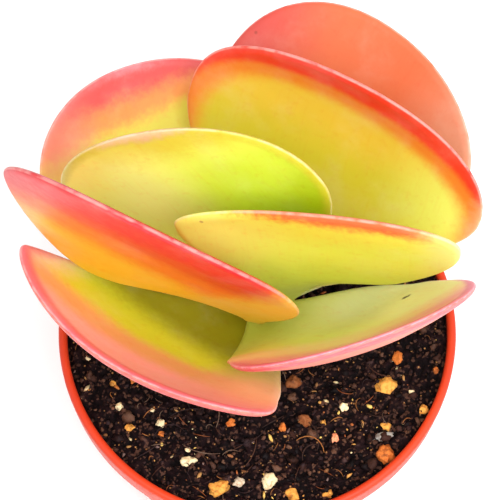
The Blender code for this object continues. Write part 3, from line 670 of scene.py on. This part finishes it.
def turned(name, profile, steps):
    """Mesh turned round +Z from (radius, height) points that start and end on the axis."""
    angles = np.linspace(0, math.tau, steps, endpoint=False)
    ring = np.array(profile[1:-1])
    points = np.stack([
        ring[:, None, 0] * np.cos(angles), ring[:, None, 0] * np.sin(angles),
        np.repeat(ring[:, 1:], steps, 1)], -1)
    rows = len(ring)
    wrapped = grid_faces(rows, steps + 1)
    wrapped = np.where(wrapped % (steps + 1) == steps, wrapped - steps, wrapped)
    wrapped = wrapped // (steps + 1) * steps + wrapped % (steps + 1)
    first, last = rows * steps, rows * steps + 1
    turn = np.arange(steps)
    start = np.stack([np.full(steps, first), turn, (turn + 1) % steps], 1)
    outer = last - 1 - steps
    end = np.stack([np.full(steps, last), (turn + 1) % steps + outer, turn + outer], 1)
    tips = np.array([(0, 0, profile[0][1]), (0, 0, profile[-1][1])])
    mesh = mesh_from(name, np.concatenate([points.reshape(-1, 3), tips]), [wrapped, start, end])
    tidy = bmesh.new()
    tidy.from_mesh(mesh)
    bmesh.ops.recalc_face_normals(tidy, faces=tidy.faces)
    tidy.to_mesh(mesh)
    tidy.free()
    return mesh


def make_pot():
    """Pot with a finely turned surface and its drainage holes."""
    mesh = turned("pot", pot_profile(), 192)
    pot = add_piece("pot_moulding", mesh, plastic_material(), "pot_plastic", "pot")
    ring = (PAD_RADIUS + BODY_FOOT_RADIUS - FOOT_WIDTH) / 2
    build = bmesh.new()
    for index in range(DRAIN_COUNT):
        angle = math.tau * (index + 0.5) / DRAIN_COUNT
        drain = bmesh.ops.create_cone(build, cap_ends=True, segments=40, radius1=DRAIN_RADIUS,
                                      radius2=DRAIN_RADIUS, depth=8 * MM)
        place = Vector((ring * math.cos(angle), ring * math.sin(angle), FLOOR))
        bmesh.ops.translate(build, verts=drain["verts"], vec=place)
    cutter_mesh = bpy.data.meshes.new("drains")
    build.to_mesh(cutter_mesh)
    build.free()
    cutter = bpy.data.objects.new("drains", cutter_mesh)
    bpy.context.scene.collection.objects.link(cutter)
    cut = pot.modifiers.new("drains", "BOOLEAN")
    cut.operation = "DIFFERENCE"
    cut.solver = "EXACT"
    cut.object = cutter
    graph = bpy.context.evaluated_depsgraph_get()
    pot.data = bpy.data.meshes.new_from_object(pot.evaluated_get(graph))
    pot.modifiers.clear()
    bpy.data.objects.remove(cutter, do_unlink=True)
    pot.data.shade_smooth()
    pot.data.set_sharp_from_angle(angle=math.radians(32))
    return pot


# Stem

def make_stem():
    """Stem with ring scars between the leaves."""
    heights = np.linspace(STEM_TOP - 3.2 * MM, STEM_FOOT, 90)
    rings = 0.16 * MM * np.cos(heights / (1.3 * MM)) * (heights < 0.104)
    shoulder = STEM_TOP - 3.2 * MM
    dome = [(stem_reach(shoulder) * math.sin(a), shoulder + 3.2 * MM * math.cos(a))
            for a in np.linspace(0, 1.45, 9)]
    sides = list(zip(stem_reach(heights) + rings - 0.16 * MM, heights))
    mesh = turned("stem", dome + sides + [(0, STEM_FOOT)], 64)
    count = len(mesh.vertices)
    points = np.zeros(count * 3, np.float32)
    mesh.vertices.foreach_get("co", points)
    points = points.reshape(-1, 3) + np.array((*STEM_PLACE, 0), np.float32)
    mesh.vertices.foreach_set("co", points.ravel())
    mesh.update()
    return add_piece("stem_skin", mesh, stem_material(), "stem_flesh", "stem")


# Soil

def soil_height(x, y):
    """Height of the soil at a place, as in the model."""
    coarse = noise.noise(Vector((x, y, 0)) / RIPPLE_SIZE)
    fine = noise.noise(Vector((x, y, 0.1)) / (RIPPLE_SIZE * 0.45))
    return SOIL_LEVEL + SOIL_SLOPE * x + SOIL_RIPPLE * (coarse + 0.6 * fine)


def crumbliness(x, y):
    """Height in millimetres of the clods and grains that the model leaves out."""
    clod = noise.noise(Vector((x, y, 0.3)) / (3.1 * MM))
    lump = noise.noise(Vector((x, y, 0.5)) / (1.5 * MM))
    grain = noise.noise(Vector((x, y, 0.7)) / (0.7 * MM))
    away = math.hypot(x - STEM_PLACE[0], y - STEM_PLACE[1])
    calm = min(1, max(0.25, (away - 7 * MM) / (9 * MM)))
    return (1.5 * abs(clod) + 0.8 * abs(lump) + 0.4 * grain - 0.55) * calm


def crumbly_height(x, y):
    """Height of the crumbly surface."""
    return soil_height(x, y) + crumbliness(x, y) * MM


def make_soil(material):
    """Soil plug with a finely crumbled top."""
    rings, steps = 120, 340
    edge = SOIL_EDGE
    radii = edge * np.sqrt(np.linspace(0, 1, rings + 1)[1:])
    profile = [(0, SOIL_LEVEL)] + [(r, SOIL_LEVEL) for r in radii]
    shelf = POT_HEIGHT - COLLAR_HEIGHT - WALL
    profile += [(edge, shelf + 1.5 * MM), (body_radius(shelf) - WALL - 0.3 * MM, shelf + 0.3 * MM),
                (body_radius(7.4 * MM) - WALL - 0.3 * MM, 7.4 * MM), (31.8 * MM, 3.4 * MM),
                (PAD_RADIUS + 0.5 * MM, 3.4 * MM), (PAD_RADIUS - 1.5 * MM, FLOOR + 0.3 * MM),
                (0, FLOOR + 0.3 * MM)]
    mesh = turned("soil", profile, steps)
    proud = np.zeros(len(mesh.vertices), np.float32)
    for index, vert in enumerate(mesh.vertices):
        if abs(vert.co.z - SOIL_LEVEL) < 0.01 * MM:
            proud[index] = crumbliness(vert.co.x, vert.co.y)
            vert.co.z = crumbly_height(vert.co.x, vert.co.y)
    put_attribute(mesh, "proud", "FLOAT", proud)
    mesh.update()
    return add_piece("soil_mix", mesh, material, "soil", "soil")


def rough_ball(subdivisions):
    """Points and faces of a small round lump."""
    build = bmesh.new()
    bmesh.ops.create_icosphere(build, subdivisions=subdivisions, radius=1)
    build.verts.ensure_lookup_table()
    points = np.array([v.co[:] for v in build.verts])
    faces = np.array([[v.index for v in f.verts] for f in build.faces])
    build.free()
    return points, faces


def broken(ball, rough, dice):
    """Lump with flat broken sides and an uneven surface."""
    points = ball.copy()
    for _ in range(7):
        side = np.array([dice.gauss(0, 1) for _ in range(3)])
        side /= np.linalg.norm(side)
        beyond = np.maximum(points @ side - dice.uniform(0.55, 0.95), 0)
        points -= beyond[:, None] * side
    shift = Vector((dice.uniform(0, 50), 0, 0))
    swell = [1 + rough * noise.noise(Vector(p) * 1.6 + shift)
             + 0.4 * rough * noise.noise(Vector(p) * 4.5 + shift) for p in ball]
    return points * np.array(swell)[:, None]


def lumps_mesh(name, lumps, subdivisions, dice):
    """One mesh of many broken lumps: (place, three radii, turn, tilt, roughness, colour)."""
    ball, faces = rough_ball(subdivisions)
    all_points, all_faces, tints = [], [], []
    for index, (place, radii, turn, tilt, rough, tint) in enumerate(lumps):
        points = broken(ball, rough, dice) * radii
        c, s = math.cos(tilt), math.sin(tilt)
        points = points @ np.array([[1, 0, 0], [0, c, s], [0, -s, c]])
        c, s = math.cos(turn), math.sin(turn)
        points = points @ np.array([[c, s, 0], [-s, c, 0], [0, 0, 1]])
        all_faces.append(faces + len(ball) * index)
        all_points.append(points + place)
        tints.append(np.tile((*linear(tint), 1.0), (len(ball), 1)))
    mesh = mesh_from(name, np.concatenate(all_points), all_faces)
    put_tint(mesh, tints)
    return mesh


def put_tint(mesh, tints):
    """Store each piece's own colour on its vertices."""
    attribute = mesh.attributes.new("tint", "FLOAT_COLOR", "POINT")
    attribute.data.foreach_set("color", np.concatenate(tints).astype(np.float32).ravel())


def scattered(dice, most, keep_off=0.0):
    """Random place on the soil, off the stem."""
    while True:
        distance = (SOIL_EDGE - most - 0.3 * MM) * math.sqrt(dice.random())
        angle = dice.uniform(0, math.tau)
        x, y = distance * math.cos(angle), distance * math.sin(angle)
        if math.hypot(x - STEM_PLACE[0], y - STEM_PLACE[1]) > 8 * MM + keep_off:
            return x, y


def make_crumbs(material):
    """Dark crumbs that lie on the soil."""
    dice = random.Random(SEED)
    lumps = []
    for _ in range(CRUMB_COUNT):
        size = dice.uniform(0.28, 0.75) * MM * (1 + 1.6 * (dice.random() > 0.90))
        x, y = scattered(dice, size, size)
        radii = np.array((size, size * dice.uniform(0.5, 1), size * dice.uniform(0.5, 0.9)))
        place = (x, y, crumbly_height(x, y) + 0.25 * radii[2])
        tint = dice.choice(CRUMB_TINTS)
        lumps.append((place, radii, dice.uniform(0, 6.3), dice.uniform(-0.7, 0.7), 0.7, tint))
    return add_piece("soil_crumbs", lumps_mesh("crumbs", lumps, 2, dice), material, "soil")


def make_grit(material):
    """Stone chips, bark bits and pale flecks."""
    dice = random.Random(SEED + 1)
    chips = []
    for x, y, long, short, turn, tint in CHIPS:
        radii = np.array((long, short, short * 0.8)) * MM * 1.15
        place = (x * MM, y * MM, crumbly_height(x * MM, y * MM) + 0.35 * radii[2])
        chips.append((place, radii, math.radians(turn), dice.uniform(-0.3, 0.3), 0.4, tint))
    add_piece("soil_chips", lumps_mesh("chips", chips, 3, dice), material, "soil")
    flecks = []
    while len(flecks) < FLECK_COUNT:
        size = dice.choice((0.12, 0.14, 0.16, 0.2, 0.26, 0.34, 0.5)) * MM
        x, y = scattered(dice, size)
        if noise.noise(Vector((x, y, 0.9)) / (7 * MM)) < dice.uniform(-0.5, 0.5):
            continue
        radii = np.array((size * dice.uniform(1, 2.8), size, size * 0.7))
        place = (x, y, crumbly_height(x, y) + 0.5 * size)
        flecks.append((place, radii, dice.uniform(0, 6.3), 0.0, 0.6, dice.choice(FLECK_TINTS)))
    add_piece("soil_flecks", lumps_mesh("flecks", flecks, 1, dice), material, "soil")


def tube_mesh(name, tubes, sides=5):
    """One mesh of many thin tubes: (points, radius, colour)."""
    points, faces, tints = [], [], []
    start = 0
    for line, radius, tint in tubes:
        line = np.array(line)
        run = np.gradient(line, axis=0)
        run /= np.linalg.norm(run, axis=1, keepdims=True)
        side = np.cross(run, (0, 0, 1))
        side /= np.linalg.norm(side, axis=1, keepdims=True) + 1e-12
        up = np.cross(side, run)
        taper = radius * (1 - 0.6 * np.abs(np.linspace(-1, 1, len(line))) ** 3)
        for angle in np.linspace(0, math.tau, sides + 1):
            points.append(line + (side * math.cos(angle) + up * math.sin(angle)) * taper[:, None])
        faces.append(grid_faces(sides + 1, len(line), start))
        tints.append(np.tile((*linear(tint), 1.0), ((sides + 1) * len(line), 1)))
        start += (sides + 1) * len(line)
    mesh = mesh_from(name, np.concatenate(points), faces)
    put_tint(mesh, tints)
    return mesh


def make_fibres(material):
    """Short roots and bark fibres on the soil."""
    dice = random.Random(SEED + 2)
    tubes = []
    for _ in range(FIBRE_COUNT):
        long = dice.random() > 0.88
        length = (dice.uniform(6, 11) if long else dice.uniform(1.5, 5)) * MM
        x, y = scattered(dice, 0.6 * length, 0.5 * length)
        angle = dice.uniform(0, math.tau)
        bend = dice.uniform(-2.4, 2.4)
        x -= math.cos(angle) * length / 2
        y -= math.sin(angle) * length / 2
        line = []
        for step in range(9):
            arch = math.sin(step / 8 * math.pi)
            line.append((x, y, soil_height(x, y) + (0.7 + 0.9 * arch) * MM))
            x += math.cos(angle) * length / 8
            y += math.sin(angle) * length / 8
            angle += bend / 8
        thick = dice.uniform(0.12, 0.2) if long else dice.uniform(0.06, 0.13)
        tubes.append((line, thick * MM, dice.choice(FIBRE_TINTS)))
    return add_piece("soil_fibres", tube_mesh("fibres", tubes), material, "soil")


# Stage

def make_floor():
    """Plain floor under the pot."""
    bpy.ops.mesh.primitive_plane_add(size=8)
    floor = bpy.context.object
    floor.name = "floor"
    floor.data.materials.append(floor_material())


def add_light(name, place, aim, size, power):
    """Soft square light."""
    data = bpy.data.lights.new(name, "AREA")
    data.size = size
    data.energy = power
    light = bpy.data.objects.new(name, data)
    light.location = place
    light.rotation_euler = (Vector(aim) - Vector(place)).to_track_quat("-Z", "Y").to_euler()
    bpy.context.scene.collection.objects.link(light)


def make_light():
    """Bright even studio light."""
    world = bpy.data.worlds.new("studio")
    world.use_nodes = True
    world.node_tree.nodes["Background"].inputs["Color"].default_value = (1, 1, 1, 1)
    world.node_tree.nodes["Background"].inputs["Strength"].default_value = 0.75
    bpy.context.scene.world = world
    middle = (0, 0, 0.11)
    add_light("key", (0.12, -0.42, 1.05), middle, 0.6, 12.0)
    add_light("right", (0.7, -0.35, 0.6), middle, 0.7, 4.5)
    add_light("left", (-0.7, -0.3, 0.8), middle, 0.7, 2.0)
    scene = bpy.context.scene
    scene.view_settings.view_transform = "Standard"
    scene.view_settings.look = "None"


def make_camera():
    """Camera above and in front of the pot."""
    data = bpy.data.cameras.new("camera")
    data.lens = CAMERA_LENS
    data.sensor_width = 36
    data.clip_start = 0.01
    camera = bpy.data.objects.new("camera", data)
    camera.location = CAMERA_PLACE
    camera.rotation_euler = (math.radians(CAMERA_TILT), 0, 0)
    bpy.context.scene.collection.objects.link(camera)
    bpy.context.scene.camera = camera


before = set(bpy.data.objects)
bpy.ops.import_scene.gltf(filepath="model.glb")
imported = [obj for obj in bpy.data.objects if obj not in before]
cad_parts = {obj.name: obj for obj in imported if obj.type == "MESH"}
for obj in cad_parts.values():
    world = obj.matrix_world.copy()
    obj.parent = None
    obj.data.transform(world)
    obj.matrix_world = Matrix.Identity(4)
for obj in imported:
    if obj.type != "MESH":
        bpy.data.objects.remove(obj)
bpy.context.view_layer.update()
make_camera()
make_floor()
make_light()
make_pot()
make_stem()
for leaf_name, leaf_numbers in LEAVES.items():
    make_leaf(leaf_name, leaf_numbers)
earth = soil_material()
grit = grit_material()
make_soil(earth)
make_crumbs(grit)
make_grit(grit)
make_fibres(grit)
bpy.context.view_layer.update()
